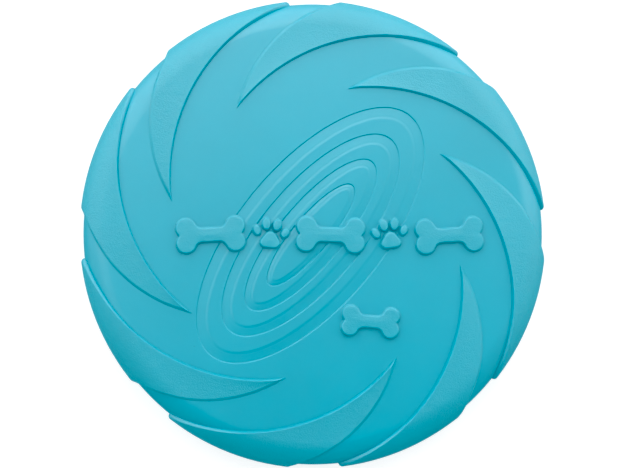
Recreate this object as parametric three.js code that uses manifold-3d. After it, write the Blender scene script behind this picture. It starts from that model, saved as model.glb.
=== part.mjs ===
// A soft flying disc for a dog, moulded in natural rubber. A shallow domed plate turns down into a thick
// rim, and the underside is hollow. Swirl vanes with a fine grain stand proud of the top and wrap over the
// rim. Nested oval grooves are sunk in the top, and raised bones and two paw prints cross them.
//
// Millimetres and degrees, +Z up. The origin is on the disc's axis, in the plane that the lip stands on.

import * as THREE from "three";
import { mergeVertices } from "three/addons/utils/BufferGeometryUtils.js";
import Module from "manifold-3d";

// The moulded shell.
const DIAMETER = 150; // over the vanes, at the widest point
const HEIGHT = 20; // from the lip to the crown
const DOME_RADIUS = 900; // the curve of the top
const SHOULDER_RADIUS = 8; // between the top and the side wall
const TUCK_ANGLE = 10; // how far the side wall leans in below its widest point
const LIP_RADIUS = 1.4; // rounding on both edges of the lip
const RIM_WALL = 5.2; // thickness of the rim at its widest point
const PLATE_WALL = 2.6; // thickness of the plate
const CORNER_RADIUS = 7; // inside the rim, under the plate

// The swirl vanes. Seen from above, each is a crescent between two arcs that meet at its inner tip.
const VANE_COUNT = 8;
const VANE_RISE = 1.25; // above the shell, along the leading edge and all over the side wall
const VANE_BACK_RISE = 0.6; // above the shell, along the back edge on top
const VANE_START = 4.3; // direction of the first vane's leading corner
const VANE_GAP = 9.7; // bare rim between two vanes
const VANE_SWEEP = 73.8; // from the leading corner round to the inner tip
const VANE_TIP_RADIUS = 47; // from the axis to the inner tip
const LEAD_ARC_RADIUS = 60.5; // of the leading edge
const BACK_ARC_RADIUS = 47.3; // of the back edge
const LEAD_WALL_RUN = 0.6; // width of the steep wall along the leading edge
const BACK_SLOPE_RUN = 1.1; // width of the slope along the back edge on top
const BACK_SLOPE_SPREAD = 0.4; // how much wider that slope has grown on the side wall
const SEAT_GAP = 0.2; // between the shell and what stands on it

// The nested oval grooves, from the outermost in.
const OVAL_CENTRE = [-1.9, -0.6];
const OVAL_TILT = 50;
const GROOVE_DEPTH = 0.5;
const GROOVE_DRAFT = 0.3; // how much narrower each side of a groove is at its bottom
const OVALS = [
  { length: 99.6, breadth: 45.4, groove: 3.5 },
  { length: 80, breadth: 31.6, groove: 3.3 },
  { length: 61.1, breadth: 19.9, groove: 2.7 },
  { length: 41.4, breadth: 11.6, groove: 1.8 },
];

// The raised marks.
const MARK_RISE = 1.4; // above the top
const MARK_EDGE = 0.4; // bevel round the top of a mark
const MARK_MARGIN = 0.3; // round a mark, where the grooves and the vanes stop short of it
const ROW_CENTRE = [4.3, -0.6]; // of the row of bones and paw prints
const MARK_SPACING = 1.9; // between two marks in the row
const BONE_TURNS = [3, -2, 4]; // lean of the three bones in the row
const PAW_TURNS = [-6, 7]; // lean of the two paw prints
const BONE = { length: 22, knob: 3.2, shaft: 4.6 };
const SMALL_BONE = { length: 18.6, knob: 2.8, shaft: 4 };
const KNOB_SPREAD = 0.77; // from a bone's middle line to the centre of each knob, as a share of the knob
const SMALL_BONE_CENTRE = [17.1, -28.2];
const SMALL_BONE_TURN = -4;
const PAD = { radius: 3.05, lobe: 0.13, squash: 0.86, y: -1.9 };
const TOES = [
  { x: -4.5, y: 1, length: 3.4, breadth: 2.5, turn: 28 },
  { x: -1.75, y: 3.3, length: 3.9, breadth: 2.8, turn: 9 },
  { x: 1.75, y: 3.3, length: 3.9, breadth: 2.8, turn: -9 },
  { x: 4.5, y: 1, length: 3.4, breadth: 2.5, turn: -28 },
];

// How finely curves are cut into flats.
const SHELL_SIDES = 72;
const OVAL_STEPS = 48;
const DOME_STEPS = 4;
const SHOULDER_STEPS = 7;
const CORNER_STEPS = 4;
const LIP_STEPS = 2;
const PLATEAU_STEPS = 6;
const KNOB_STEPS = 7;
const PAD_STEPS = 18;
const TOE_STEPS = 12;

const OUTER_RADIUS = DIAMETER / 2;
const RIM_RADIUS = OUTER_RADIUS - VANE_RISE;
const INNER_RADIUS = RIM_RADIUS - RIM_WALL;

const smoothRubber = new THREE.MeshStandardMaterial({ color: 0x2fb4cd, roughness: 0.5, metalness: 0 });
const grainedRubber = new THREE.MeshStandardMaterial({ color: 0x43b6cd, roughness: 0.7, metalness: 0 });

const wasm = await Module();
wasm.setup();

const rad = THREE.MathUtils.degToRad;

// ---- Solids ----

function solidOf(geometry) {
  const bare = geometry.index ? geometry.toNonIndexed() : geometry.clone();
  bare.deleteAttribute("normal");
  bare.deleteAttribute("uv");
  const merged = mergeVertices(bare, 1e-3);
  return new wasm.Manifold(
    new wasm.Mesh({
      numProp: 3,
      vertProperties: merged.attributes.position.array,
      triVerts: new Uint32Array(merged.index.array),
    }),
  );
}

function geometryOf(solid) {
  const { vertProperties, triVerts } = solid.getMesh();
  const geometry = new THREE.BufferGeometry();
  geometry.setAttribute("position", new THREE.BufferAttribute(vertProperties, 3));
  geometry.setIndex(new THREE.BufferAttribute(triVerts, 1));
  geometry.computeVertexNormals();
  return geometry;
}

// A closed skin over rings of points, each ring joined to the next one. An end is closed by a last ring
// that is folded flat, onto a line or a point, so triangles that have no area are left out.
function loft(rings) {
  const points = rings.flat();
  const count = rings[0].length;
  const index = [];
  const apart = (a, b) => points[a].distanceToSquared(points[b]) > 1e-12;
  const add = (a, b, c) => {
    if (apart(a, b) && apart(b, c) && apart(c, a)) index.push(a, b, c);
  };
  for (let ring = 0; ring + 1 < rings.length; ring++) {
    for (let i = 0; i < count; i++) {
      const a = ring * count + i;
      const b = ring * count + ((i + 1) % count);
      add(a, b, b + count);
      add(a, b + count, a + count);
    }
  }
  const geometry = new THREE.BufferGeometry().setFromPoints(points);
  geometry.setIndex(index);
  geometry.computeVertexNormals();
  return geometry;
}

// ---- The shell's profile, as radius and height ----

const DOME_CENTRE = HEIGHT - DOME_RADIUS;

// Where the centre of a round that touches the dome's inside lies, and how far round the dome it touches.
function roundUnderDome(domeRadius, round, centreRadius) {
  const reach = domeRadius - round;
  return {
    x: centreRadius,
    y: DOME_CENTRE + Math.sqrt(reach ** 2 - centreRadius ** 2),
    angle: 90 - THREE.MathUtils.radToDeg(Math.asin(centreRadius / reach)),
  };
}

// Points along an arc, each with the outward direction there.
function arc(x, y, radius, from, to, steps) {
  return Array.from({ length: steps + 1 }, (_, i) => {
    const angle = rad(from + ((to - from) * i) / steps);
    const out = new THREE.Vector2(Math.cos(angle), Math.sin(angle));
    return { point: new THREE.Vector2(x + radius * out.x, y + radius * out.y), out };
  });
}

const shoulder = roundUnderDome(DOME_RADIUS, SHOULDER_RADIUS, RIM_RADIUS - SHOULDER_RADIUS);
const corner = roundUnderDome(DOME_RADIUS - PLATE_WALL, CORNER_RADIUS, INNER_RADIUS - CORNER_RADIUS);

// Centre of the lip's outer round, which touches both the tucked side wall and the floor.
function outerLipCentre() {
  const tuck = rad(TUCK_ANGLE);
  const wall = arc(shoulder.x, shoulder.y, SHOULDER_RADIUS, -TUCK_ANGLE, 0, 1)[0].point;
  const drop = LIP_RADIUS * (1 - Math.sin(tuck)) + wall.y * Math.sin(tuck);
  return wall.x - drop / Math.cos(tuck);
}

const dome = (from, steps) => arc(0, DOME_CENTRE, DOME_RADIUS, from, shoulder.angle, steps);
const shoulderArc = arc(
  shoulder.x, shoulder.y, SHOULDER_RADIUS, shoulder.angle, -TUCK_ANGLE, SHOULDER_STEPS,
);
const outerLip = arc(outerLipCentre(), LIP_RADIUS, LIP_RADIUS, -TUCK_ANGLE, -90, LIP_STEPS);
const innerLip = arc(INNER_RADIUS + LIP_RADIUS, LIP_RADIUS, LIP_RADIUS, -90, -180, LIP_STEPS);
const cornerArc = arc(corner.x, corner.y, CORNER_RADIUS, 0, corner.angle, CORNER_STEPS);
const underside = arc(0, DOME_CENTRE, DOME_RADIUS - PLATE_WALL, corner.angle, 90, DOME_STEPS);

function domeHeight(x, y) {
  return DOME_CENTRE + Math.sqrt(DOME_RADIUS ** 2 - x ** 2 - y ** 2);
}

function shellBlank() {
  const stations = [
    ...dome(90, DOME_STEPS),
    ...shoulderArc.slice(1),
    ...outerLip,
    ...innerLip,
    ...cornerArc,
    ...underside.slice(1),
  ];
  const profile = stations.map(({ point }) => point).reverse();
  profile[0].x = 0;
  profile[profile.length - 1].x = 0;
  return new THREE.LatheGeometry(profile, SHELL_SIDES).rotateX(Math.PI / 2);
}

// ---- The oval grooves ----

// One groove's cutter: a section that narrows downwards, carried round the oval at an even depth under
// the dome.
function grooveCutter({ length, breadth, groove }) {
  const above = MARK_RISE;
  const slope = (GROOVE_DRAFT * above) / GROOVE_DEPTH;
  const section = [
    { inset: -slope, rise: above },
    { inset: GROOVE_DRAFT, rise: -GROOVE_DEPTH },
    { inset: groove - GROOVE_DRAFT, rise: -GROOVE_DEPTH },
    { inset: groove + slope, rise: above },
  ];
  const centre = new THREE.Vector2(...OVAL_CENTRE);
  const ringAt = (turn) =>
    section.map(({ inset, rise }) => {
      const x = (length / 2 - inset) * Math.cos(turn);
      const y = (breadth / 2 - inset) * Math.sin(turn);
      const at = new THREE.Vector2(x, y).rotateAround(new THREE.Vector2(), rad(OVAL_TILT)).add(centre);
      return new THREE.Vector3(at.x, at.y, domeHeight(at.x, at.y) + rise);
    });
  const rings = Array.from({ length: OVAL_STEPS }, (_, i) => ringAt((2 * Math.PI * i) / OVAL_STEPS));
  return solidOf(loft([...rings, rings[0]]));
}

// ---- The swirl vanes ----

// Centre of the circle through two points of the plan, given its radius. It lies to the right, seen from
// the first.
function circleThrough(from, to, radius) {
  const middle = from.clone().add(to).multiplyScalar(0.5);
  const half = to.clone().sub(from).multiplyScalar(0.5);
  const rise = Math.sqrt(radius ** 2 - half.lengthSq());
  return middle.add(new THREE.Vector2(half.y, -half.x).setLength(-rise));
}

function polar(radius, angle) {
  return new THREE.Vector2(radius * Math.cos(rad(angle)), radius * Math.sin(rad(angle)));
}

const vanePitch = 360 / VANE_COUNT;
const vaneTip = polar(VANE_TIP_RADIUS, VANE_SWEEP);
const leadCentre = circleThrough(polar(OUTER_RADIUS, 0), vaneTip, LEAD_ARC_RADIUS);
const backCentre = circleThrough(polar(OUTER_RADIUS, vanePitch - VANE_GAP), vaneTip, BACK_ARC_RADIUS);

// The direction, in radians, in which a circle of the plan stands at a given distance from the axis.
function directionOn(centre, radius, distance) {
  const reach = centre.length();
  const cosine = (distance ** 2 + reach ** 2 - radius ** 2) / (2 * distance * reach);
  return Math.atan2(centre.y, centre.x) + Math.acos(THREE.MathUtils.clamp(cosine, -1, 1));
}

// One crosswise ring of a vane: along its seat from the leading edge to the back edge, and back over its
// top. The edges follow their arcs halfway up the vane's height, and run straight down below the widest
// point. A folded ring has its top laid on its seat.
function vaneRing({ point, out }, folded) {
  const widest = RIM_RADIUS + VANE_RISE / 2;
  const plan = out.y < 0 ? widest : Math.min(widest, point.x + (VANE_RISE / 2) * out.x);
  const steepness = THREE.MathUtils.smoothstep(out.x, 0, 1);
  const backRise = THREE.MathUtils.lerp(VANE_BACK_RISE, VANE_RISE, steepness);
  const backRun = BACK_SLOPE_RUN + BACK_SLOPE_SPREAD * steepness;

  const lead = directionOn(leadCentre, LEAD_ARC_RADIUS, plan);
  const back = directionOn(backCentre, BACK_ARC_RADIUS, plan);
  const ridge = lead + ((back - lead) * LEAD_WALL_RUN) / (LEAD_WALL_RUN + backRun);
  const wallTop = Math.min(directionOn(leadCentre, LEAD_ARC_RADIUS + LEAD_WALL_RUN, plan), ridge);
  const slopeTop = Math.max(directionOn(backCentre, BACK_ARC_RADIUS - backRun, plan), ridge);
  const plateau = Array.from(
    { length: PLATEAU_STEPS + 1 },
    (_, i) => wallTop + ((slopeTop - wallTop) * i) / PLATEAU_STEPS,
  );

  // How high the top stands: a wedge from edge to edge, cut off by the leading wall and by the back slope.
  const riseAt = (angle) => {
    if (folded) return SEAT_GAP;
    const at = new THREE.Vector2(plan * Math.cos(angle), plan * Math.sin(angle));
    const fromLead = at.distanceTo(leadCentre) - LEAD_ARC_RADIUS;
    const fromBack = BACK_ARC_RADIUS - at.distanceTo(backCentre);
    const wedge = THREE.MathUtils.lerp(VANE_RISE, backRise, (angle - lead) / (back - lead));
    const share = THREE.MathUtils.clamp(Math.min(fromLead / LEAD_WALL_RUN, fromBack / backRun), 0, 1);
    return SEAT_GAP + (wedge - SEAT_GAP) * share;
  };
  const place = (angle, rise) => {
    const radius = point.x + rise * out.x;
    return new THREE.Vector3(radius * Math.cos(angle), radius * Math.sin(angle), point.y + rise * out.y);
  };
  const top = plateau.map((angle) => place(angle, riseAt(angle)));
  const seat = plateau.map((angle) => place(angle, SEAT_GAP));
  return [place(lead, SEAT_GAP), ...seat, place(back, SEAT_GAP), ...top.reverse()];
}

function vaneGeometry() {
  const tipDirection = 90 - THREE.MathUtils.radToDeg(Math.asin(VANE_TIP_RADIUS / DOME_RADIUS));
  const stations = [...dome(tipDirection, DOME_STEPS), ...shoulderArc.slice(1), outerLip[0]];
  const rings = stations.map((station) => vaneRing(station, false));
  const tip = rings[0].map((_, __, ring) => ring[0]);
  const end = vaneRing(outerLip[0], true);
  return loft([tip, ...rings.slice(1), end]);
}

// ---- The raised marks ----

// A mark's outline is a function of how far it is inset. Its spine is the line or point that it closes
// onto.

// Two knobs at each end of a straight shaft. Points run anticlockwise from the notch between the
// right-hand knobs.
function boneOutline({ length, knob, shaft }, inset) {
  const radius = knob - inset;
  const spread = KNOB_SPREAD * knob;
  const x = length / 2 - knob;
  const notch = -Math.asin(spread / radius);
  const join = Math.PI - Math.asin((shaft / 2 - inset - spread) / radius);
  const upper = Array.from({ length: KNOB_STEPS + 1 }, (_, i) => {
    const angle = notch + ((join - notch) * i) / KNOB_STEPS;
    return new THREE.Vector2(x + radius * Math.cos(angle), spread + radius * Math.sin(angle));
  });
  const flip = (points, sx, sy) => points.map((p) => new THREE.Vector2(sx * p.x, sy * p.y));
  return [
    ...upper,
    ...flip(upper, -1, 1).reverse(),
    ...flip(upper, -1, -1).slice(1),
    ...flip(upper, 1, -1).reverse().slice(0, -1),
  ];
}

function boneSpine(outline) {
  const notch = outline[0].x;
  return outline.map((p) => new THREE.Vector2(THREE.MathUtils.clamp(p.x, -notch, notch), 0));
}

// A closed curve given as distance from its middle in each direction.
function roundOutline(steps, distanceAt, squash) {
  return Array.from({ length: steps }, (_, i) => {
    const angle = (2 * Math.PI * i) / steps;
    const distance = distanceAt(angle);
    return new THREE.Vector2(distance * Math.cos(angle), squash * distance * Math.sin(angle));
  });
}

function padOutline({ radius, lobe, squash }, inset) {
  const distanceAt = (angle) => (radius - inset) * (1 + lobe * Math.cos(3 * (angle - Math.PI / 2)));
  return roundOutline(PAD_STEPS, distanceAt, squash);
}

function toeOutline({ length, breadth }, inset) {
  return roundOutline(TOE_STEPS, () => breadth / 2 - inset, (length / 2 - inset) / (breadth / 2 - inset));
}

const pointSpine = (outline) => outline.map(() => new THREE.Vector2());

// A body with upright sides from one height to another, and a bevel round its top.
function raised(outlineAt, spineOf, low, high, bevel) {
  const level = (points, z) => points.map((p) => new THREE.Vector3(p.x, p.y, z));
  const foot = outlineAt(0);
  const crown = outlineAt(bevel);
  return loft([
    level(spineOf(foot), low),
    level(foot, low),
    level(foot, high - bevel),
    level(crown, high),
    level(spineOf(crown), high),
  ]);
}

// Stands an object on the top of the disc, square to the dome, with its own turn about the upright.
function standOnDome(object, [x, y], turn) {
  const foot = new THREE.Vector3(x, y, domeHeight(x, y));
  const up = foot.clone().sub(new THREE.Vector3(0, 0, DOME_CENTRE)).normalize();
  object.position.copy(foot);
  object.quaternion.setFromUnitVectors(new THREE.Vector3(0, 0, 1), up);
  object.rotateZ(rad(turn));
  return object;
}

// A mark's mesh, and with it the upright core that keeps the grooves and the vanes clear of it.
function makeMark(name, outlineAt, spineOf) {
  const mesh = new THREE.Mesh(raised(outlineAt, spineOf, SEAT_GAP, MARK_RISE, MARK_EDGE), smoothRubber);
  mesh.name = name;
  const aroundIt = (inset) => outlineAt(inset - MARK_MARGIN);
  mesh.userData.core = raised(aroundIt, spineOf, -3 * GROOVE_DEPTH, 3 * MARK_RISE, 0);
  return mesh;
}

function makeBone(name, size, centre, turn) {
  return standOnDome(makeMark(name, (inset) => boneOutline(size, inset), boneSpine), centre, turn);
}

function makePaw(name, centre, turn) {
  const paw = new THREE.Group();
  const pad = makeMark(`${name}_pad`, (inset) => padOutline(PAD, inset), pointSpine);
  pad.position.y = PAD.y;
  paw.add(pad);
  TOES.forEach((toe, i) => {
    const mesh = makeMark(`${name}_toe_${i + 1}`, (inset) => toeOutline(toe, inset), pointSpine);
    mesh.position.set(toe.x, toe.y, 0);
    mesh.rotation.z = rad(toe.turn);
    paw.add(mesh);
  });
  return standOnDome(paw, centre, turn);
}

function makeMarks() {
  const marks = new THREE.Group();
  const pawWidth = 2 * Math.max(...TOES.map(({ x, length }) => x + length / 2));
  const pitch = BONE.length / 2 + MARK_SPACING + pawWidth / 2;
  const place = (slot) => [ROW_CENTRE[0] + slot * pitch, ROW_CENTRE[1]];
  BONE_TURNS.forEach((turn, i) => {
    marks.add(makeBone(`raised_bone_${i + 1}`, BONE, place(2 * i - 2), turn));
  });
  PAW_TURNS.forEach((turn, i) => {
    marks.add(makePaw(`raised_paw_${i + 1}`, place(2 * i - 1), turn));
  });
  marks.add(makeBone("raised_bone_small", SMALL_BONE, SMALL_BONE_CENTRE, SMALL_BONE_TURN));
  return marks;
}

// ---- The disc ----

function coresOf(marks) {
  marks.updateMatrixWorld(true);
  const cores = [];
  marks.traverse((mark) => {
    if (mark.isMesh) cores.push(solidOf(mark.userData.core.clone().applyMatrix4(mark.matrixWorld)));
  });
  return cores;
}

const without = (solid, cores) => cores.reduce((left, core) => left.subtract(core), solid);

function makeShell(cores) {
  const shell = OVALS.reduce(
    (left, oval) => left.subtract(without(grooveCutter(oval), cores)),
    solidOf(shellBlank()),
  );
  const mesh = new THREE.Mesh(geometryOf(shell), smoothRubber);
  mesh.name = "disc_shell";
  return mesh;
}

function makeVanes(cores) {
  const vanes = new THREE.Group();
  for (let i = 0; i < VANE_COUNT; i++) {
    const turned = vaneGeometry().rotateZ(rad(VANE_START + i * vanePitch));
    const vane = new THREE.Mesh(geometryOf(without(solidOf(turned), cores)), grainedRubber);
    vane.name = `swirl_vane_${i + 1}`;
    vanes.add(vane);
  }
  return vanes;
}

const disc = new THREE.Group();
const marks = makeMarks();
const cores = coresOf(marks);
disc.add(makeShell(cores), makeVanes(cores), marks);

export default disc;
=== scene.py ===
"""Looks of a soft rubber flying disc, built around its packed frame.

The disc is one moulding. Its smooth shell, grained swirl vanes and raised marks are closed surfaces worked
out from the same sizes as the solids that they stand for. Lengths are in metres and angles in radians.
"""

import math

import bpy
import numpy as np
from bpy.props import FloatProperty, FloatVectorProperty, IntProperty, PointerProperty
from mathutils import Matrix, Vector


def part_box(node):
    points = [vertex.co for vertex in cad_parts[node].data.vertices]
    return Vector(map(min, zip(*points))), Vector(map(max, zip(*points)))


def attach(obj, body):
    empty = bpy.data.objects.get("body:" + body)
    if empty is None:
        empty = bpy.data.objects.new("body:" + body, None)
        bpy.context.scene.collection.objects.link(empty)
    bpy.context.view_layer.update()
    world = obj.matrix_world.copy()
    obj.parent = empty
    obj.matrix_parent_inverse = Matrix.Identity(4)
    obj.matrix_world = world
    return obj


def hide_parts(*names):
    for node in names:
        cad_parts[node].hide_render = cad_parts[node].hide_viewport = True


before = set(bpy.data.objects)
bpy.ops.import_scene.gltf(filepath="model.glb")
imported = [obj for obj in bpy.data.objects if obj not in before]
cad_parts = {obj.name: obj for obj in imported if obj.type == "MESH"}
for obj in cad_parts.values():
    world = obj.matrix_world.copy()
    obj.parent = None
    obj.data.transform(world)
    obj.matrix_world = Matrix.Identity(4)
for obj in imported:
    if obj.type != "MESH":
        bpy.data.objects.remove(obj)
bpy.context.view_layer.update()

bl_info = {
    "name": "Rubber Flying Disc",
    "version": (1, 0, 0),
    "blender": (4, 5, 0),
    "location": "3D View > Sidebar > Disc",
    "description": "Makes a soft rubber flying disc with swirl vanes, oval grooves and raised marks",
    "category": "Add Mesh",
}

MM = 0.001
BODY = "root"
SHELL_NODE = "disc_shell"
VANE_NODE = "swirl_vane_"
BONE_NODES = ("raised_bone_1", "raised_bone_2", "raised_bone_3")
SMALL_BONE_NODE = "raised_bone_small"
PAW_NODES = ("raised_paw_1", "raised_paw_2")

SHELL_LOW, SHELL_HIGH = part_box(SHELL_NODE)


# ---- Sizes and colours that a user would change ----


def length(name, description, millimetres):
    return FloatProperty(
        name=name, description=description, default=millimetres * MM, unit="LENGTH", precision=5
    )


def lengths(name, description, *millimetres):
    return FloatVectorProperty(
        name=name,
        description=description,
        size=len(millimetres),
        default=[size * MM for size in millimetres],
        unit="LENGTH",
    )


def power(name, description, watts):
    return FloatProperty(name=name, description=description, default=watts, unit="POWER")


def angle(name, description, degrees):
    return FloatProperty(name=name, description=description, default=math.radians(degrees), unit="ROTATION")


def factor(name, description, value):
    return FloatProperty(name=name, description=description, default=value, min=0, max=1, subtype="FACTOR")


def number(name, description, value):
    return FloatProperty(name=name, description=description, default=value)


def colour(name, description, rgb):
    return FloatVectorProperty(name=name, description=description, default=rgb, min=0, max=1, subtype="COLOR")


class DiscShellSizes(bpy.types.PropertyGroup):
    """Sizes of the moulded shell."""

    rim_radius: length(
        "Rim radius", "Radius of the shell at its widest point", (SHELL_HIGH.x - SHELL_LOW.x) / 2 / MM
    )
    height: length("Height", "From the lip to the crown", SHELL_HIGH.z / MM)
    dome_radius: length("Dome radius", "Radius of the curve of the top", 900)
    shoulder_radius: length("Shoulder radius", "Round between the top and the side wall", 8)
    tuck: angle("Tuck", "How far the side wall leans in below its widest point", 10)
    lip_radius: length("Lip radius", "Rounding of both edges of the lip", 1.4)
    rim_wall: length("Rim wall", "Thickness of the rim at its widest point", 5.2)
    plate_wall: length("Plate wall", "Thickness of the plate", 2.6)
    corner_radius: length("Corner radius", "Round inside the rim, under the plate", 7)
    seam_rise: length("Seam rise", "Height of the mould's parting line round the rim", 0.14)
    seam_width: length("Seam width", "Width of the mould's parting line", 0.3)


class OvalSizes(bpy.types.PropertyGroup):
    """Sizes of the nested oval grooves, from the outermost in."""

    centre: lengths("Centre", "Middle of the ovals", -1.9, -0.6)
    tilt: angle("Tilt", "Direction of the ovals' long axis", 50)
    depth: length("Depth", "Depth of each groove under its outer edge", 0.36)
    inner_depth: length("Inner depth", "Depth of each groove under its inner edge", 0.12)
    outer_run: length("Outer wall run", "Width of a groove's outer side wall, rounding included", 0.34)
    inner_run: length("Inner wall run", "Width of a groove's inner side wall, rounding included", 1.2)
    spans: lengths("Spans", "Each oval's outer length", 99.6, 80, 61.1, 41.4)
    breadths: lengths("Breadths", "Each oval's outer breadth", 45.4, 31.6, 19.9, 11.6)
    grooves: lengths("Groove widths", "Width of each oval's groove", 3.5, 3.3, 2.7, 1.8)


class VaneSizes(bpy.types.PropertyGroup):
    """Sizes of the swirl vanes."""

    count: IntProperty(name="Count", description="Number of vanes round the disc", default=8, min=1)
    rise: length("Rise", "Height along the leading edge and on the side wall", 1.25)
    back_rise: length("Back rise", "Height along the back edge on top", 0.5)
    start: angle("Start", "Direction of the first vane's leading corner", 4.3)
    gap: angle("Gap", "Bare rim between two vanes", 9.7)
    sweep: angle("Sweep", "From the leading corner round to the inner tip", 73.8)
    tip_radius: length("Tip radius", "From the axis to the inner tip", 47)
    lead_arc: length("Leading arc", "Radius of the leading edge, seen from above", 60.5)
    back_arc: length("Back arc", "Radius of the back edge, seen from above", 47.3)
    lead_run: length("Leading wall run", "Width of the rounded wall along the leading edge on top", 0.58)
    back_run: length("Back slope run", "Width of the rounded step along the back edge on top", 0.8)
    back_spread: length("Back slope spread", "How much wider that slope has grown on the side wall", 0.4)


class MarkSizes(bpy.types.PropertyGroup):
    """Sizes of the raised bones and paw prints."""

    rise: length("Rise", "Height above the top", 1.4)
    edge: length("Edge radius", "Rounding of a mark's upper edge", 0.55)
    fillet: length("Fillet", "Rounding where a mark meets the top", 0.28)
    row_centre: lengths("Row centre", "Middle of the row", 4.3, -0.6)
    spacing: length("Spacing", "Between two marks in the row", 1.9)
    bone_length: length("Bone length", "Length of a bone in the row", 22)
    bone_knob: length("Bone knob", "Radius of a bone's knobs", 3.2)
    bone_shaft: length("Bone shaft", "Width of a bone's shaft", 4.6)
    small_centre: lengths("Small bone's centre", "Middle of the small bone", 17.1, -28.2)
    small_length: length("Small bone's length", "Length of the small bone", 18.6)
    small_knob: length("Small bone's knob", "Radius of the small bone's knobs", 2.8)
    small_shaft: length("Small bone's shaft", "Width of the small bone's shaft", 4)
    pad_radius: length("Pad radius", "Radius of a paw's pad", 3.05)


class RubberLooks(bpy.types.PropertyGroup):
    """Colours and finish of the rubber."""

    smooth_colour: colour("Smooth colour", "Colour of the smooth rubber", (0.0003, 0.305, 0.424))
    grained_colour: colour("Grained colour", "Colour of the grained rubber", (0.002, 0.302, 0.414))
    smooth_roughness: factor("Smooth roughness", "Roughness of the smooth rubber", 0.44)
    grained_roughness: factor("Grained roughness", "Roughness of the grained rubber", 0.52)
    grain_size: length("Grain size", "Distance between two grains on a vane", 0.42)
    grain_height: length("Grain height", "Height of the grains on a vane", 0.06)


class StudioSettings(bpy.types.PropertyGroup):
    """The camera and the light."""

    lens: number("Lens", "Focal length in millimetres on a sensor 36 mm wide", 200)
    view_width: length("View width", "Width of the view where the disc is widest", 201.6)
    lean_x: angle("Lean along X", "How far the camera leans from upright along X", -5.2)
    lean_y: angle("Lean along Y", "How far the camera leans from upright along Y", -1.7)
    key_power: power("Key light", "Power of the light beyond the disc", 6.3)
    left_power: power("Left light", "Power of the light on the left", 9.2)
    right_power: power("Right light", "Power of the light on the right", 5.8)
    front_power: power("Front fill", "Power of the fill light that adds no sheen", 6.6)
    far_wall: number("Far wall", "Brightness of the surroundings beyond the disc", 2.1)
    near_wall: number("Near wall", "Brightness of the surroundings on the near side", 0.35)
    ceiling: number("Ceiling", "Brightness of the surroundings overhead", 0.05)
    floor_glow: number("Floor glow", "How much the floor shines by itself", 0.7)
    red_black: number("Red black level", "Red that is shown as none", 0.06)
    floor_colour: colour("Floor colour", "Colour of the floor", (0.4, 0.4, 0.4))


# ---- Surfaces ----

MERGE_DECIMALS = 8  # points that agree to this many decimals of a metre are one


def smoothstep(x):
    """Zero up to 0, one from 1 on, and 3x^2 - 2x^3 between them."""
    x = np.clip(x, 0, 1)
    return x * x * (3 - 2 * x)


def mix(a, b, share):
    """a at share 0, b at share 1, and evenly between."""
    return a + (b - a) * share


def plan(radius, direction):
    """Points of the plan at a distance from the axis, in a direction."""
    return np.stack([radius * np.cos(direction), radius * np.sin(direction)], axis=-1)


def turned(points, angle):
    """Points of the plan turned about the origin."""
    cosine, sine = math.cos(angle), math.sin(angle)
    return points @ np.array([[cosine, sine], [-sine, cosine]])


def closed_surface(grid):
    """Vertices and triangles of a closed skin over a grid of points, rings by points round a ring by xyz,
    and the grid point that each vertex is. Points that coincide become one, so a ring folded onto a line or
    a point closes its end. Each cell is two triangles. They face outwards, so the volume that they enclose,
    the sum of the triple products of their corners, is positive."""
    rings, around = grid.shape[:2]
    points = grid.reshape(-1, 3)
    _, first, number_of = np.unique(
        np.round(points, MERGE_DECIMALS), axis=0, return_index=True, return_inverse=True
    )
    number_of = number_of.reshape(rings, around)
    a, d = number_of[:-1], number_of[1:]
    b, c = np.roll(a, -1, axis=1), np.roll(d, -1, axis=1)
    halves = [np.stack([a, b, c], axis=-1), np.stack([a, c, d], axis=-1)]
    triangles = np.concatenate(halves).reshape(-1, 3)
    i, j, k = triangles.T
    triangles = triangles[(i != j) & (j != k) & (k != i)]
    vertices = points[first]
    corners = vertices[triangles]
    volume = np.einsum("ij,ij->i", corners[:, 0], np.cross(corners[:, 1], corners[:, 2])).sum()
    return vertices, triangles if volume > 0 else triangles[:, ::-1], first


def make_piece(name, grid, material, replaced, grain):
    """Puts a closed surface into a mesh object that rides with the disc and stands for a CAD node. Each of
    its points keeps how much grain it has, from 0 to 1."""
    vertices, triangles, first = closed_surface(grid)
    grain = np.broadcast_to(grain, grid.shape[:2]).reshape(-1)[first]
    mesh = bpy.data.meshes.new(name)
    mesh.from_pydata(vertices.tolist(), [], triangles.tolist())
    mesh.polygons.foreach_set("use_smooth", np.ones(len(triangles), dtype=bool))
    attribute = mesh.attributes.new("grain", "FLOAT", "POINT")
    attribute.data.foreach_set("value", grain.astype(np.float32))
    mesh.materials.append(material)
    piece = bpy.data.objects.new(name, mesh)
    bpy.context.scene.collection.objects.link(piece)
    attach(piece, BODY)
    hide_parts(*replaced)


# ---- The shell's profile ----

SEAM_REACH = 3  # the parting line's bell curve has died out at this many times its width
WALL_STEPS = 5
LIP_STEPS = 8
CORNER_STEPS = 12
UNDERSIDE_STEPS = 9


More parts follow.
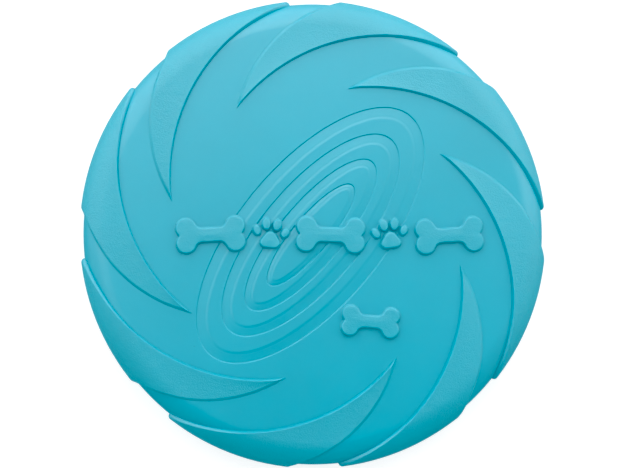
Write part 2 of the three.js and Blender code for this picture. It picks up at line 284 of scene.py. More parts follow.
class Profile:
    """The shell's outline as radius and height, worked out from its sizes."""

    def __init__(self, sizes):
        self.sizes = sizes
        self.dome_centre = sizes.height - sizes.dome_radius
        self.inner_radius = sizes.rim_radius - sizes.rim_wall
        self.shoulder = self.round_under_dome(
            sizes.dome_radius, sizes.shoulder_radius, sizes.rim_radius - sizes.shoulder_radius
        )
        self.corner = self.round_under_dome(
            sizes.dome_radius - sizes.plate_wall, sizes.corner_radius, self.inner_radius - sizes.corner_radius
        )

    def round_under_dome(self, dome_radius, radius, centre_radius):
        """A round that touches the dome's inside: its centre, and the direction in which they touch."""
        reach = dome_radius - radius
        centre = (centre_radius, self.dome_centre + math.sqrt(reach**2 - centre_radius**2))
        return centre, math.acos(centre_radius / reach)

    def arc(self, centre, radius, directions):
        """Points on an arc at the given directions, and the outward direction at each."""
        out = np.stack([np.cos(directions), np.sin(directions)], axis=-1)
        return np.asarray(centre) + radius * out, out

    @property
    def dome_edge(self):
        """Distance from the axis at which the dome meets the shoulder."""
        (centre_radius, _), touch = self.shoulder
        return centre_radius + self.sizes.shoulder_radius * math.cos(touch)

    def dome_height(self, distance):
        """The dome's height at a distance from the axis."""
        return self.dome_centre + np.sqrt(self.sizes.dome_radius**2 - distance**2)

    def dome(self, distances):
        """The dome's own profile at the given distances from the axis."""
        radius = self.sizes.dome_radius
        return self.arc((0, self.dome_centre), radius, np.arccos(distances / radius))

    def side(self, steps):
        """Shoulder and side wall, from where the dome ends down to the lip. Points crowd at the parting line,
        which adds the bell curve e^(-2(s/w)^2) to the shoulder's round, where s runs along it and w is the
        line's width."""
        sizes = self.sizes
        centre, top = self.shoulder
        seam = SEAM_REACH * sizes.seam_width / sizes.shoulder_radius
        directions = np.concatenate(
            [
                np.linspace(top, seam, steps, endpoint=False),
                np.linspace(seam, -seam, steps // 2, endpoint=False),
                np.linspace(-seam, -sizes.tuck, steps // 6 + 2),
            ]
        )
        points, out = self.arc(centre, sizes.shoulder_radius, directions)
        along = directions * sizes.shoulder_radius / sizes.seam_width
        points = points + (sizes.seam_rise * np.exp(-2 * along**2))[:, None] * out
        lip, lip_out = self.outer_lip(1)
        wall = np.linspace(points[-1], lip[0], WALL_STEPS + 1)[1:]
        wall_out = np.repeat(lip_out[:1], WALL_STEPS, axis=0)
        return np.concatenate([points, wall]), np.concatenate([out, wall_out])

    def outer_lip(self, steps):
        """Quarter round from the tucked side wall to the floor. Its centre lies where it touches both."""
        sizes = self.sizes
        wall, _ = self.arc(self.shoulder[0], sizes.shoulder_radius, np.array(-sizes.tuck))
        drop = sizes.lip_radius * (1 - math.sin(sizes.tuck)) + wall[1] * math.sin(sizes.tuck)
        centre = (wall[0] - drop / math.cos(sizes.tuck), sizes.lip_radius)
        return self.arc(centre, sizes.lip_radius, np.linspace(-sizes.tuck, -math.pi / 2, steps + 1))

    def inside(self):
        """From the lip's inner edge up the inner wall, round the corner and under the plate to the axis."""
        sizes = self.sizes
        lip, _ = self.arc(
            (self.inner_radius + sizes.lip_radius, sizes.lip_radius),
            sizes.lip_radius,
            np.linspace(-math.pi / 2, -math.pi, LIP_STEPS + 1),
        )
        centre, top = self.corner
        corner, _ = self.arc(centre, sizes.corner_radius, np.linspace(0, top, CORNER_STEPS + 1))
        wall = np.linspace(lip[-1], corner[0], WALL_STEPS)[1:-1]
        distances = np.linspace(corner[-1][0], 0, UNDERSIDE_STEPS + 1)[1:]
        under = sizes.dome_radius - sizes.plate_wall
        plate, _ = self.arc((0, self.dome_centre), under, np.arccos(distances / under))
        return np.concatenate([lip, wall, corner, plate])


# ---- The shell ----

SHELL_SIDES = 400
SHELL_SIDE_STEPS = 36
DOME_EDGE_STEPS = 5
OVAL_WALL_STEPS = 7
GUARD = 0.25  # the rings beside a groove's wall stand off by this share of its run
LAND_STEPS = 4
BLEND_STEPS = 18
BLEND_SHARE = 0.79  # the ovals' rings have turned into circles at this share of the rim radius


def groove_levels(sizes):
    """Half length, half breadth and depth of each ring over the ovals, from their middle out. A groove's wall
    falls as a smoothstep across its run, and its floor slopes evenly from the inner wall down to the outer
    one. A ring close to each side of a wall keeps its rounding crisp, and the first ring is folded onto the
    ovals' long axis."""
    rows = []
    for long, broad, width in reversed(list(zip(sizes.spans, sizes.breadths, sizes.grooves))):
        steps = np.linspace(0, 1, OVAL_WALL_STEPS)
        steps = np.concatenate([[-GUARD], steps, [1 + GUARD]])
        fall = smoothstep(steps)
        inset = np.concatenate([width + sizes.inner_run * (0.5 - steps), sizes.outer_run * (0.5 - steps)])
        depth = np.concatenate([fall * sizes.inner_depth, (1 - fall) * sizes.depth])
        ovals = np.stack([long / 2 - inset, broad / 2 - inset, depth], axis=-1)
        if rows:
            rows.append(np.linspace(rows[-1][-1], ovals[0], LAND_STEPS + 1, endpoint=False)[1:])
        else:
            fold = ovals[0] - [ovals[0][1], ovals[0][1], 0]
            rows.append(np.linspace(fold, ovals[0], LAND_STEPS + 2, endpoint=False))
        rows.append(ovals)
    return np.concatenate(rows)


def top_grid(profile, ovals):
    """The top, rings by points round by xyz. Inside, ellipses, (a cos t, b sin t), whose edges lie on the
    grooves' walls. Outside, a blend of the last ellipse with a circle of the disc."""
    turn = np.linspace(0, 2 * math.pi, SHELL_SIDES, endpoint=False)
    levels = groove_levels(ovals)
    ellipse = np.stack([levels[:, :1] * np.cos(turn), levels[:, 1:2] * np.sin(turn)], axis=-1)
    rings = turned(ellipse, ovals.tilt) + np.array(ovals.centre)
    circle = plan(BLEND_SHARE * profile.sizes.rim_radius, turn + ovals.tilt)
    share = np.linspace(0, 1, BLEND_STEPS + 1)[1:, None, None]
    around = mix(rings[-1], circle, share)
    xy = np.concatenate([rings, around])
    depth = np.concatenate([levels[:, 2], np.zeros(BLEND_STEPS)])
    z = profile.dome_height(np.linalg.norm(xy, axis=-1)) - depth[:, None]
    return np.concatenate([xy, z[..., None]], axis=-1)


def turned_grid(points, start):
    """A profile of radius and height turned round the axis."""
    turn = start + np.linspace(0, 2 * math.pi, SHELL_SIDES, endpoint=False)
    xy = plan(points[:, :1], turn)
    z = np.broadcast_to(points[:, 1:], xy.shape[:2])
    return np.concatenate([xy, z[..., None]], axis=-1)


def shell_grid(profile, ovals):
    """The whole shell: top, shoulder, side wall, lip and underside."""
    blend_end = BLEND_SHARE * profile.sizes.rim_radius
    dome, _ = profile.dome(np.linspace(blend_end, profile.dome_edge, DOME_EDGE_STEPS + 1)[1:-1])
    side, _ = profile.side(SHELL_SIDE_STEPS)
    lip, _ = profile.outer_lip(LIP_STEPS)
    outline = np.concatenate([dome, side, lip[1:], profile.inside()])
    return np.concatenate([top_grid(profile, ovals), turned_grid(outline, ovals.tilt)])


# ---- The vanes ----


def circle_through(start, end, radius):
    """Centre of the circle through two points of the plan with this radius, on the right of the line from
    the second to the first."""
    half = (end - start) / 2
    away = math.sqrt(radius**2 - half @ half) / np.linalg.norm(half)
    return (start + end) / 2 + away * np.array([-half[1], half[0]])


class VanePlan:
    """A vane seen from above: a crescent between two arcs that meet at its inner tip."""

    def __init__(self, profile, sizes):
        self.sizes = sizes
        outer = profile.sizes.rim_radius + sizes.rise
        tip = plan(sizes.tip_radius, sizes.sweep)
        pitch = 2 * math.pi / sizes.count
        self.lead_centre = circle_through(plan(outer, 0.0), tip, sizes.lead_arc)
        self.back_centre = circle_through(plan(outer, pitch - sizes.gap), tip, sizes.back_arc)

    def direction(self, centre, radius, distance):
        """Direction in which a circle of the plan stands at a distance from the axis, by the law of
        cosines."""
        reach = np.linalg.norm(centre)
        cosine = (distance**2 + reach**2 - radius**2) / (2 * distance * reach)
        return math.atan2(centre[1], centre[0]) + np.arccos(np.clip(cosine, -1, 1))

    def lead(self, distance, inset):
        """Direction of the leading arc, moved into the vane by the inset."""
        return self.direction(self.lead_centre, self.sizes.lead_arc + inset, distance)

    def back(self, distance, inset):
        """Direction of the back arc, moved into the vane by the inset."""
        return self.direction(self.back_centre, self.sizes.back_arc - inset, distance)

    def insets(self, distance, direction):
        """How far a point lies inside the leading arc and inside the back arc."""
        point = plan(distance, direction)
        from_lead = np.linalg.norm(point - self.lead_centre, axis=-1) - self.sizes.lead_arc
        from_back = self.sizes.back_arc - np.linalg.norm(point - self.back_centre, axis=-1)
        return from_lead, from_back


TIP_SEARCH = 0.05  # the inner tip is looked for within this share of its radius
TIP_SEARCH_STEPS = 2000
VANE_STATIONS = 64
STATION_CROWDING = 1.5  # above 1, stations crowd towards the inner tip
VANE_SIDE_STEPS = 30
EDGE_COLUMNS = 14
PAST_EDGE = 1.2  # the innermost edge column stands this many runs in from the edge
PLATEAU_COLUMNS = 12
LEAD_POWER = {"dome": 1.25, "side": 2}  # how round the leading wall is: 1 is straight, 2 an ellipse
BACK_POWER = 1.2
SIDE_LEAD_SHARE = 0.6  # the leading wall's run on the side wall, as a share of its run on the dome
VANE_SINK = 0.4 * MM  # how far a vane's underside is let into the shell
SKIM = 0.02 * MM  # a vane's edges start this far below the shell's surface
END_RUN = 1.6 * MM  # a vane's end above the lip is rounded over this length


def rounded(x, power):
    """A quarter of a superellipse, (1 - (1 - x)^p)^(1/p), from 0 at 0 up to level at 1."""
    return (1 - (1 - np.clip(x, 0, 1)) ** power) ** (1 / power)


def vane_stations(profile, outline):
    """Points and outward directions down the middle of a vane, and the distance from the axis at which its
    edges are read off the plan. Below the widest point the edges run straight down. The last point comes
    twice, for the vane's end."""
    sizes, shell = outline.sizes, profile.sizes
    near = sizes.tip_radius * np.linspace(1 - TIP_SEARCH, 1 + TIP_SEARCH, TIP_SEARCH_STEPS)
    tip = near[np.argmax(outline.back(near, 0) > outline.lead(near, 0))]
    share = np.linspace(0, 1, VANE_STATIONS, endpoint=False) ** STATION_CROWDING
    top, top_out = profile.dome(mix(tip, profile.dome_edge, share))
    side, side_out = profile.side(VANE_SIDE_STEPS)
    points = np.concatenate([top, side, side[-1:]])
    out = np.concatenate([top_out, side_out, side_out[-1:]])
    widest = shell.rim_radius + sizes.rise / 2
    read = np.where(out[:, 1] < 0, widest, np.minimum(widest, points[:, 0] + out[:, 0] * sizes.rise / 2))
    read[0] = tip
    return points, out, read


def vane_columns(outline, read, lead_run, back_run):
    """Direction of each column at each station. Columns crowd over the leading wall and over the back slope,
    as the cosine does near 0, and stand evenly between them. In a narrow station the crowded ones keep to
    even shares of its breadth."""
    first = outline.lead(read, 0)
    last = np.maximum(outline.back(read, 0), first)
    even = (last - first) * np.arange(EDGE_COLUMNS) / (2 * EDGE_COLUMNS + PLATEAU_COLUMNS - 1)
    inset = np.append(1 - np.cos(np.linspace(0, math.pi / 2, EDGE_COLUMNS - 1)), PAST_EDGE)
    lead = np.minimum(outline.lead(read, inset * lead_run), first + even)
    back = np.maximum(outline.back(read, inset * back_run), last - even)[:, ::-1]
    middle = np.linspace(lead[:, -1], back[:, 0], PLATEAU_COLUMNS + 1, axis=1, endpoint=False)[:, 1:]
    return np.concatenate([lead, middle, back], axis=1)


def vane_top(outline, points, out, read):
    """Direction, rise over the shell and grain of each point of a vane's top, stations by columns.

    Across a station the top rises from the leading arc and from the back arc as quarter superellipses, and
    stands on a wedge between them. On the side wall the back becomes a smoothstep ramp. Where the vane ends,
    the top falls as a quarter ellipse along it."""
    sizes = outline.sizes
    read, steepness = read[:, None], smoothstep(out[:, :1])
    lead_run = sizes.lead_run * mix(1, SIDE_LEAD_SHARE, steepness)
    back_run = sizes.back_run + sizes.back_spread * steepness
    direction = vane_columns(outline, read, lead_run, back_run)

    from_lead, from_back = outline.insets(read, direction)
    up_lead = rounded(from_lead / lead_run, mix(LEAD_POWER["dome"], LEAD_POWER["side"], steepness))
    up_back = mix(rounded(from_back / back_run, BACK_POWER), smoothstep(from_back / back_run), steepness)
    up_back[:, -1] = 0
    up = np.minimum(up_lead, up_back)
    left = np.append(np.linalg.norm(np.diff(points, axis=0), axis=1)[::-1].cumsum()[::-1], 0)
    end = rounded(left / END_RUN, 2)[:, None]

    first, last = direction[:, :1], direction[:, -1:]
    across = np.clip((direction - first) / np.maximum(last - first, 1e-6), 0, 1)
    wedge = mix(sizes.rise, mix(sizes.back_rise, sizes.rise, steepness), across)
    rise = (wedge + SKIM) * up * end - SKIM
    rise[[0, -1]] = -VANE_SINK
    return direction, rise, smoothstep(3 * up - 2) * smoothstep(2 * end - 1)


def vane_grid(profile, outline, number):
    """One vane, stations by points round its section by xyz, and how much grain each point has. The underside
    repeats the top's columns below the shell's surface."""
    points, out, read = vane_stations(profile, outline)
    direction, rise, grain = vane_top(outline, points, out, read)
    direction = np.concatenate([direction, direction[:, ::-1]], axis=1)
    rise = np.concatenate([rise, np.full_like(rise, -VANE_SINK)], axis=1)
    grain = np.concatenate([grain, np.zeros_like(grain)], axis=1)
    turn = direction + outline.sizes.start + number * 2 * math.pi / outline.sizes.count
    xy = plan(points[:, :1] + rise * out[:, :1], turn)
    z = points[:, 1:] + rise * out[:, 1:]
    return np.concatenate([xy, z[..., None]], axis=-1), grain


# ---- The raised marks ----

KNOB_SPREAD = 0.77  # from a bone's middle line to the centre of each knob, as a share of the knob
NOTCH_FILLET = 0.5 * MM
NECK_FILLET = 2.2 * MM
BONE_TURNS = (3, -2, 4)
SMALL_BONE_TURN = -4
PAW_TURNS = (-6, 7)
PAD = {"lobe": 0.13, "squash": 0.86, "y": -1.9 * MM}
TOES = (
    {"x": -4.5 * MM, "y": 1 * MM, "length": 3.4 * MM, "breadth": 2.5 * MM, "turn": 28},
    {"x": -1.75 * MM, "y": 3.3 * MM, "length": 3.9 * MM, "breadth": 2.8 * MM, "turn": 9},
    {"x": 1.75 * MM, "y": 3.3 * MM, "length": 3.9 * MM, "breadth": 2.8 * MM, "turn": -9},
    {"x": 4.5 * MM, "y": 1 * MM, "length": 3.4 * MM, "breadth": 2.5 * MM, "turn": -28},
)
MARK_SINK = 1.1 * MM  # how far a mark goes down into the shell, past the grooves
MARK_CROWN = 0.06 * MM
MARK_GRAIN = 0.6  # how much of the vanes' grain a mark has
NOTCH_POINTS = 5
KNOB_POINTS = 30
NECK_POINTS = 9
SHAFT_POINTS = 9
PAD_POINTS = 72
TOE_POINTS = 48
MARK_ROUND_POINTS = 7
CROWN_STEPS = 7


def bone_outline(length, knob, shaft):
    """Outline, outward normals and middle line of a bone. A quarter of it is four stretches: a hollow arc in
    the notch between two knobs, the knob's own arc, a hollow arc in the neck, and the shaft's straight
    edge."""
    x, y = length / 2 - knob, KNOB_SPREAD * knob
    notch = np.array([x + math.sqrt((knob + NOTCH_FILLET) ** 2 - y**2), 0])
    lift = shaft / 2 + NECK_FILLET
    neck = np.array([x - math.sqrt((knob + NECK_FILLET) ** 2 - (lift - y) ** 2), lift])
    to_notch = math.atan2(notch[1] - y, notch[0] - x)
    to_neck = math.atan2(neck[1] - y, neck[0] - x)

    def arc(centre, radius, start, stop, count, sign):
        out = plan(1.0, np.linspace(start, stop, count))
        return centre + radius * out, sign * out

    hollow, hollow_normal = arc(notch, NOTCH_FILLET, math.pi, math.pi + to_notch, NOTCH_POINTS, -1)
    bulge, bulge_normal = arc(np.array([x, y]), knob, to_notch, to_neck, KNOB_POINTS, 1)
    bend, bend_normal = arc(neck, NECK_FILLET, to_neck - math.pi, -math.pi / 2, NECK_POINTS, -1)
    along = np.linspace(neck[0], 0, SHAFT_POINTS)
    straight = np.stack([along, np.full_like(along, shaft / 2)], axis=-1)
    upright = np.broadcast_to([0.0, 1.0], straight.shape)
    quarter = np.concatenate([hollow, bulge[1:], bend[1:], straight[1:]])
    normals = np.concatenate([hollow_normal, bulge_normal[1:], bend_normal[1:], upright[1:]])

    def whole(part):
        half = np.concatenate([part, part[-2::-1] * [-1, 1]])
        return np.concatenate([half, half[-2:0:-1] * [1, -1]])

    outline = whole(quarter)
    end = quarter[0][0]
    spine = np.stack([np.clip(outline[:, 0], -end + knob, end - knob), np.zeros(len(outline))], axis=-1)
    return outline, whole(normals), spine


def round_outline(radii, squash):
    """Outline, outward normals and middle point of a closed curve given as its distance from the middle."""
    turn = np.linspace(0, 2 * math.pi, len(radii), endpoint=False)
    outline = plan(radii, turn) * [1, squash]
    tangent = np.roll(outline, -1, axis=0) - np.roll(outline, 1, axis=0)
    normals = np.stack([tangent[:, 1], -tangent[:, 0]], axis=-1)
    return outline, normals / np.linalg.norm(normals, axis=1, keepdims=True), np.zeros_like(outline)


def pad_outline(radius):
    """A pad: a circle whose radius swells and shrinks as the cosine of three times the turn from +Y."""
    turn = np.linspace(0, 2 * math.pi, PAD_POINTS, endpoint=False)
    return round_outline(radius * (1 + PAD["lobe"] * np.cos(3 * (turn - math.pi / 2))), PAD["squash"])


def toe_outline(length, breadth):
    """A toe: an ellipse, longer along Y."""
    return round_outline(np.full(TOE_POINTS, breadth / 2), length / breadth)


def mark_grid(profile, sizes, shape, moves):
    """A raised mark on the dome: its outline carried up from below the surface, out of a hollow fillet, up
    the wall, over a rounded edge and in to its middle line, which closes both ends. Each move turns it by
    some degrees and then shifts it to a centre, and together they put it in its place."""
    outline, normals, spine = shape
    quarter = np.linspace(0, math.pi / 2, MARK_ROUND_POINTS)
    sine, cosine = np.sin(quarter), np.cos(quarter)
    fillet = np.stack([sizes.fillet * (sine - 1), sizes.fillet * (1 - cosine)], axis=-1)
    edge = np.stack([sizes.edge * (1 - cosine), sizes.rise - sizes.edge * (1 - sine)], axis=-1)
    section = np.concatenate([[[-sizes.fillet, -MARK_SINK]], fillet, edge])
    rings = outline - section[:, 0][:, None, None] * normals
    inward = np.linspace(0, 1, CROWN_STEPS + 1)[1:, None, None]
    crown = mix(rings[-1], spine, inward)
    xy = np.concatenate([spine[None], rings, crown])
    lift = sizes.rise + MARK_CROWN * smoothstep(inward[:, 0, 0])
    height = np.concatenate([[-MARK_SINK], section[:, 1], lift])
    for centre, degrees in moves:
        xy = turned(xy, math.radians(degrees)) + np.asarray(centre)
    z = profile.dome_height(np.linalg.norm(xy, axis=-1)) + height[:, None]
    return np.concatenate([xy, z[..., None]], axis=-1)


def row_place(sizes, slot):
    """Centre of a place in the row, where slot 0 is its middle and bones and paws take turns."""
    paw_width = 2 * max(toe["x"] + toe["length"] / 2 for toe in TOES)
    pitch = sizes.bone_length / 2 + sizes.spacing + paw_width / 2
    return sizes.row_centre[0] + slot * pitch, sizes.row_centre[1]


# ---- Materials ----


class Nodes:
    """Builds a material's nodes, one call each."""

    def __init__(self, name):
        self.material = bpy.data.materials.new(name)
        self.material.use_nodes = True
        self.tree = self.material.node_tree
        self.shader = self.tree.nodes["Principled BSDF"]
        self.position = self.add("ShaderNodeTexCoord").outputs["Object"]

    def add(self, kind, inputs=None, **settings):
        node = self.tree.nodes.new(kind)
        for key, value in settings.items():
            setattr(node, key, value)
        for key, value in (inputs or {}).items():
            if isinstance(value, bpy.types.NodeSocket):
                self.tree.links.new(value, node.inputs[key])
            else:
                node.inputs[key].default_value = value
        return node

    def noise(self, size, detail=2.0, roughness=0.5, scale=None):
        """Noise whose features are about one size across, from 0 to 1. The scale draws it out along an
        axis."""
        vector = self.position
        if scale:
            vector = self.add("ShaderNodeMapping", {"Vector": vector, "Scale": scale}).outputs["Vector"]
        inputs = {"Vector": vector, "Scale": 1 / size, "Detail": detail, "Roughness": roughness}
        return self.add("ShaderNodeTexNoise", inputs).outputs["Fac"]

    def spread(self, value, low, high, to_low=0.0, to_high=1.0):
        """A value between low and high, mapped in a straight line to the other range."""
        inputs = {"Value": value, "From Min": low, "From Max": high, "To Min": to_low, "To Max": to_high}
        return self.add("ShaderNodeMapRange", inputs).outputs["Result"]

    def math(self, operation, a, b):
        return self.add("ShaderNodeMath", {0: a, 1: b}, operation=operation).outputs["Value"]

    def blend(self, share, a, b):
        """A colour between two. A mix node's sockets for colours are 6 and 7, and its result is 2."""
        return self.add("ShaderNodeMix", {0: share, 6: a, 7: b}, data_type="RGBA").outputs[2]

    def bump(self, height, distance, normal=None):
        inputs = {"Height": height, "Distance": distance}
        if normal is not None:
            inputs["Normal"] = normal
        return self.add("ShaderNodeBump", inputs).outputs["Normal"]

    def use(self, **inputs):
        """Sets or links the shader's own sockets, named with _ for each space."""
        for key, value in inputs.items():
            socket = self.shader.inputs[key.replace("_", " ")]
            if isinstance(value, bpy.types.NodeSocket):
                self.tree.links.new(value, socket)
            else:
                socket.default_value = value


def with_alpha(rgb, brightness=1.0):
    """A colour made brighter or darker, with full alpha."""
    return (*(brightness * channel for channel in rgb), 1.0)


CLOUD_SIZE = 35 * MM
CLOUD_CONTRAST = 0.03
SPECK_SPACING = 9 * MM
SPECK_PATCH_SIZE = 14 * MM  # specks show only in patches about this broad
SPECK_SHARE = 0.35  # how far a speck hides the rubber's own colour
SPECK_BRIGHTNESS = 0.45
SMEAR_SIZE = 2.5 * MM
ROUGHNESS_SPREAD = 0.02
RIPPLE_SIZE, RIPPLE_HEIGHT = 6 * MM, 0.05 * MM
POLISH_SIZE, POLISH_HEIGHT = 0.5 * MM, 0.006 * MM
DRAWN_SIZE, DRAWN_HEIGHT = 1.2 * MM, 0.09 * MM
DRAWN_SCALE = (0.45, 1, 1)  # below 1, the ripples are longer along that axis


def rubber_colour(nodes, rgb):
    """Rubber's own colour: broad cloudy tone from the mixing mill, and a scatter of dark dust specks."""
    cloud = nodes.spread(nodes.noise(CLOUD_SIZE, 3), 0.35, 0.65)
    tone = nodes.blend(cloud, with_alpha(rgb, 1 - CLOUD_CONTRAST), with_alpha(rgb, 1 + CLOUD_CONTRAST))
    cells = nodes.add("ShaderNodeTexVoronoi", {"Vector": nodes.position, "Scale": 1 / SPECK_SPACING})
    speck = nodes.spread(cells.outputs["Distance"], 0.035, 0.02)
    patch = nodes.spread(nodes.noise(SPECK_PATCH_SIZE, 0), 0.52, 0.56)
    share = nodes.math("MULTIPLY", nodes.math("MULTIPLY", speck, patch), SPECK_SHARE)
    return nodes.blend(share, tone, with_alpha(rgb, SPECK_BRIGHTNESS))


def rubber_nodes(name, rgb):
    """Rubber that light sinks into a little way, red the least far. It has no roughness or relief yet."""
    nodes = Nodes(name)
    nodes.use(Base_Color=rubber_colour(nodes, rgb), Specular_IOR_Level=1.0, IOR=1.6)
    nodes.use(Subsurface_Weight=0.4, Subsurface_Radius=(0.2, 0.9, 1.0), Subsurface_Scale=0.9 * MM)
    return nodes


def satin_rubber(looks):
    """Satin rubber straight from the polished mould, with faint smears and ripples."""
    nodes = rubber_nodes("satin_rubber", looks.smooth_colour)
    low, high = looks.smooth_roughness - ROUGHNESS_SPREAD, looks.smooth_roughness + ROUGHNESS_SPREAD
    nodes.use(Roughness=nodes.spread(nodes.noise(SMEAR_SIZE, 4, 0.65), 0.35, 0.65, low, high))
    ripples = nodes.bump(nodes.noise(RIPPLE_SIZE, 2), RIPPLE_HEIGHT)
    nodes.use(Normal=nodes.bump(nodes.noise(POLISH_SIZE, 2), POLISH_HEIGHT, ripples))
    return nodes.material


def pebbled_rubber(looks):
    """Matt rubber with the pebble grain of an etched mould on its broad faces, over low ripples drawn out
    along X. The edges have ripples and no grain."""
    nodes = rubber_nodes("pebbled_rubber", looks.grained_colour)
    grain = nodes.add("ShaderNodeAttribute", attribute_name="grain").outputs["Fac"]
    nodes.use(Roughness=nodes.spread(grain, 0, 1, looks.smooth_roughness, looks.grained_roughness))
    pebbles = nodes.noise(looks.grain_size, 3, 0.6)
    pits = nodes.math("MULTIPLY", nodes.spread(pebbles, 0.3, 0.7), grain)
    ripples = nodes.bump(nodes.noise(DRAWN_SIZE, 3, 0.6, DRAWN_SCALE), DRAWN_HEIGHT)
    nodes.use(Normal=nodes.bump(pits, looks.grain_height, ripples))
    return nodes.material


def floor_material(rgb, glow):
    """Matt floor that glows a little, so that it stays pale between the lights."""
    nodes = Nodes("studio_floor")
    nodes.use(Base_Color=with_alpha(rgb), Roughness=0.9, Emission_Color=(1, 1, 1, 1), Emission_Strength=glow)
    return nodes.material


SIDE_WALL_SHARE = 0.3
LOW_WALL_SHARE = 0.3


def studio_walls(settings):
    """White walls round the disc, dim on the near side, under a dark ceiling. Their brightness follows the
    direction: along it, y plus SIDE_WALL_SHARE times the size of x tells far from near, and z tells the
    ceiling from the walls. Well below the horizon they keep LOW_WALL_SHARE of their brightness."""
    world = bpy.data.worlds.new("studio_walls")
    world.use_nodes = True
    tree = world.node_tree
    split = tree.nodes.new("ShaderNodeSeparateXYZ")
    tree.links.new(tree.nodes.new("ShaderNodeTexCoord").outputs["Generated"], split.inputs[0])

    def math_node(operation, a, b):
        node = tree.nodes.new("ShaderNodeMath")
        node.operation = operation
        tree.links.new(a, node.inputs[0])
        if isinstance(b, bpy.types.NodeSocket):
            tree.links.new(b, node.inputs[1])
        else:
            node.inputs[1].default_value = b
        return node.outputs[0]

    def smooth_range(value, low, high, to_low, to_high):
        node = tree.nodes.new("ShaderNodeMapRange")
        node.interpolation_type = "SMOOTHSTEP"
        for key, number in {"From Min": low, "From Max": high, "To Min": to_low, "To Max": to_high}.items():
            node.inputs[key].default_value = number
        tree.links.new(value, node.inputs["Value"])
        return node.outputs["Result"]

    sideways = math_node("MULTIPLY", math_node("ABSOLUTE", split.outputs["X"], 0.0), SIDE_WALL_SHARE)
    far = math_node("ADD", split.outputs["Y"], sideways)
    wall = smooth_range(far, -0.4, 1.0, settings.near_wall, settings.far_wall)
    under_ceiling = smooth_range(split.outputs["Z"], 0.6, 0.95, 1.0, 0.0)
    over_horizon = smooth_range(split.outputs["Z"], -0.7, 0.0, LOW_WALL_SHARE, 1.0)
    lit = math_node("MULTIPLY", math_node("MULTIPLY", wall, under_ceiling), over_horizon)
    background = tree.nodes["Background"]
    background.inputs["Color"].default_value = (1, 1, 1, 1)
    tree.links.new(math_node("ADD", lit, settings.ceiling), background.inputs["Strength"])
    return world


def rubber(make):
    """The rubber that this function makes, made once and shared by all pieces."""
    name = make.__name__
    return bpy.data.materials.get(name) or make(bpy.context.scene.disc_rubber_looks)


# ---- Operators ----


class DiscOperator:
    """What the disc's operators share."""

    bl_options = {"REGISTER", "UNDO"}

    @property
    def profile(self):
        return Profile(bpy.context.scene.disc_shell_sizes)

    @property
    def smooth(self):
        return rubber(satin_rubber)

    @property
    def grained(self):
        return rubber(pebbled_rubber)

    def make_mark(self, name, shape, *moves):
        sizes = bpy.context.scene.disc_mark_sizes
        grid = mark_grid(self.profile, sizes, shape, moves)
        make_piece(f"{name}_skin", grid, self.grained, [name], MARK_GRAIN)


class DISC_OT_make_shell(DiscOperator, bpy.types.Operator):
    """Make the smooth shell with its oval grooves, rim and hollow underside"""

    bl_idname = "disc.make_shell"
    bl_label = "Make Shell"

    def execute(self, context):
        grid = shell_grid(self.profile, context.scene.disc_oval_sizes)
        make_piece("shell_skin", grid, self.smooth, [SHELL_NODE], 0)
        return {"FINISHED"}


class DISC_OT_make_vanes(DiscOperator, bpy.types.Operator):
    """Make the grained swirl vanes that wrap over the rim"""

    bl_idname = "disc.make_vanes"
    bl_label = "Make Vanes"

    def execute(self, context):
        sizes = context.scene.disc_vane_sizes
        outline = VanePlan(self.profile, sizes)
        for number in range(sizes.count):
            node = f"{VANE_NODE}{number + 1}"
            grid, grain = vane_grid(self.profile, outline, number)
            make_piece(f"{node}_skin", grid, self.grained, [node], grain)
        return {"FINISHED"}


class DISC_OT_make_bones(DiscOperator, bpy.types.Operator):
    """Make the raised bones: the three in the row and the small one below it"""

    bl_idname = "disc.make_bones"
    bl_label = "Make Bones"

    def execute(self, context):
        sizes = context.scene.disc_mark_sizes
        shape = bone_outline(sizes.bone_length, sizes.bone_knob, sizes.bone_shaft)
        for slot, (name, degrees) in enumerate(zip(BONE_NODES, BONE_TURNS)):
            self.make_mark(name, shape, (row_place(sizes, 2 * slot - 2), degrees))
        small = bone_outline(sizes.small_length, sizes.small_knob, sizes.small_shaft)
        self.make_mark(SMALL_BONE_NODE, small, (sizes.small_centre, SMALL_BONE_TURN))
        return {"FINISHED"}


class DISC_OT_make_paws(DiscOperator, bpy.types.Operator):
    """Make the raised paw prints, each a pad and its toes"""

    bl_idname = "disc.make_paws"
    bl_label = "Make Paw Prints"

    def execute(self, context):
        sizes = context.scene.disc_mark_sizes
        for slot, (name, degrees) in enumerate(zip(PAW_NODES, PAW_TURNS)):
            paw = (row_place(sizes, 2 * slot - 1), degrees)
            self.make_mark(f"{name}_pad", pad_outline(sizes.pad_radius), ((0, PAD["y"]), 0), paw)
            for number, toe in enumerate(TOES, 1):
                shape = toe_outline(toe["length"], toe["breadth"])
                self.make_mark(f"{name}_toe_{number}", shape, ((toe["x"], toe["y"]), toe["turn"]), paw)
        return {"FINISHED"}


# Each light's place, and its breadth and height, in metres.
KEY_LIGHT = (0.02, 0.72, 1.25), (1.0, 0.9)
LEFT_LIGHT = (-0.95, 0.12, 1.6), (1.4, 1.6)
RIGHT_LIGHT = (1.2, 0.3, 1.45), (1.3, 1.6)
FRONT_LIGHT = (0, -1.4, 1.0), (2.0, 1.0)
FLOOR_HALF = 2.0  # half the floor's breadth, in metres


def add_area_light(name, place, size, power):
    """A soft light that looks at the disc's middle."""
    light = bpy.data.lights.new(name, "AREA")
    light.shape = "RECTANGLE"
    light.size, light.size_y = size
    light.energy = power
    holder = bpy.data.objects.new(name, light)
    bpy.context.scene.collection.objects.link(holder)
    holder.location = place
    holder.rotation_euler = (Vector() - Vector(place)).to_track_quat("-Z", "Y").to_euler()
    return holder


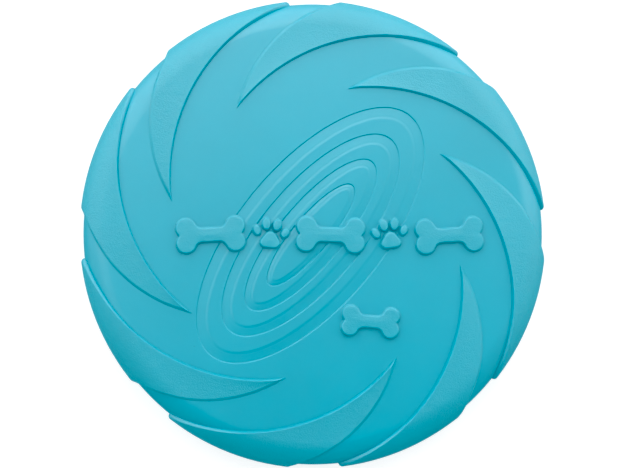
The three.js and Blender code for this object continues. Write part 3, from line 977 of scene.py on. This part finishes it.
class DISC_OT_make_studio(DiscOperator, bpy.types.Operator):
    """Make the pale floor, the soft lights and the camera above the disc"""

    bl_idname = "disc.make_studio"
    bl_label = "Make Studio"

    def execute(self, context):
        settings = context.scene.disc_studio
        self.make_floor(settings)
        self.make_lights(context, settings)
        self.make_camera(context, settings)
        return {"FINISHED"}

    def make_floor(self, settings):
        """The floor is kept out of the rubber's reflections."""
        corners = [(x * FLOOR_HALF, y * FLOOR_HALF, 0) for x, y in ((-1, -1), (1, -1), (1, 1), (-1, 1))]
        mesh = bpy.data.meshes.new("studio_floor")
        mesh.from_pydata(corners, [], [(0, 1, 2, 3)])
        mesh.materials.append(floor_material(settings.floor_colour, settings.floor_glow))
        floor = bpy.data.objects.new("studio_floor", mesh)
        floor.visible_glossy = False
        bpy.context.scene.collection.objects.link(floor)

    def make_lights(self, context, settings):
        """Three lights above and behind, and a low one in front that the rubber doesn't reflect."""
        add_area_light("key_light", *KEY_LIGHT, settings.key_power)
        add_area_light("left_light", *LEFT_LIGHT, settings.left_power)
        add_area_light("right_light", *RIGHT_LIGHT, settings.right_power)
        front = add_area_light("front_light", *FRONT_LIGHT, settings.front_power)
        front.visible_glossy = False
        context.scene.world = studio_walls(settings)
        self.set_colours(context.scene.view_settings, settings)

    def set_colours(self, view, settings):
        """Plain colours, with red starting a little above black, as a camera renders a cyan as pure as
        this."""
        view.view_transform = "Standard"
        view.use_curve_mapping = True
        view.curve_mapping.black_level = (settings.red_black, 0, 0)
        view.curve_mapping.update()

    def make_camera(self, context, settings):
        """The camera looks at the middle of the widest circle, nearly straight down, with +Y up in the
        view."""
        camera = bpy.data.cameras.new("studio_camera")
        camera.lens = settings.lens
        holder = bpy.data.objects.new("studio_camera", camera)
        context.scene.collection.objects.link(holder)
        target = Vector((0, 0, self.profile.shoulder[0][1]))
        back = Vector((math.tan(settings.lean_x), math.tan(settings.lean_y), 1)).normalized()
        right = Vector((0, 1, 0)).cross(back).normalized()
        up = back.cross(right)
        distance = settings.view_width * settings.lens / camera.sensor_width
        turn = Matrix((right, up, back)).transposed()
        holder.matrix_world = Matrix.Translation(target + distance * back) @ turn.to_4x4()
        context.scene.camera = holder


class DISC_PT_panel(bpy.types.Panel):
    """Lists the disc's operators and sizes"""

    bl_label = "Flying Disc"
    bl_idname = "DISC_PT_panel"
    bl_space_type = "VIEW_3D"
    bl_region_type = "UI"
    bl_category = "Disc"

    def draw(self, context):
        for operator in OPERATORS:
            self.layout.operator(operator.bl_idname)
        for name, group in SETTINGS.items():
            box = self.layout.box()
            box.label(text=group.__doc__)
            for key in group.__annotations__:
                box.prop(getattr(context.scene, name), key)


SETTINGS = {
    "disc_shell_sizes": DiscShellSizes,
    "disc_oval_sizes": OvalSizes,
    "disc_vane_sizes": VaneSizes,
    "disc_mark_sizes": MarkSizes,
    "disc_rubber_looks": RubberLooks,
    "disc_studio": StudioSettings,
}
OPERATORS = (
    DISC_OT_make_shell,
    DISC_OT_make_vanes,
    DISC_OT_make_bones,
    DISC_OT_make_paws,
    DISC_OT_make_studio,
)


def register():
    for name, group in SETTINGS.items():
        bpy.utils.register_class(group)
        setattr(bpy.types.Scene, name, PointerProperty(type=group))
    for cls in (*OPERATORS, DISC_PT_panel):
        bpy.utils.register_class(cls)


def unregister():
    for cls in (DISC_PT_panel, *reversed(OPERATORS)):
        bpy.utils.unregister_class(cls)
    for name, group in SETTINGS.items():
        delattr(bpy.types.Scene, name)
        bpy.utils.unregister_class(group)


def main():
    register()
    bpy.ops.disc.make_shell()
    bpy.ops.disc.make_vanes()
    bpy.ops.disc.make_bones()
    bpy.ops.disc.make_paws()
    bpy.ops.disc.make_studio()


if __name__ == "__main__":
    main()
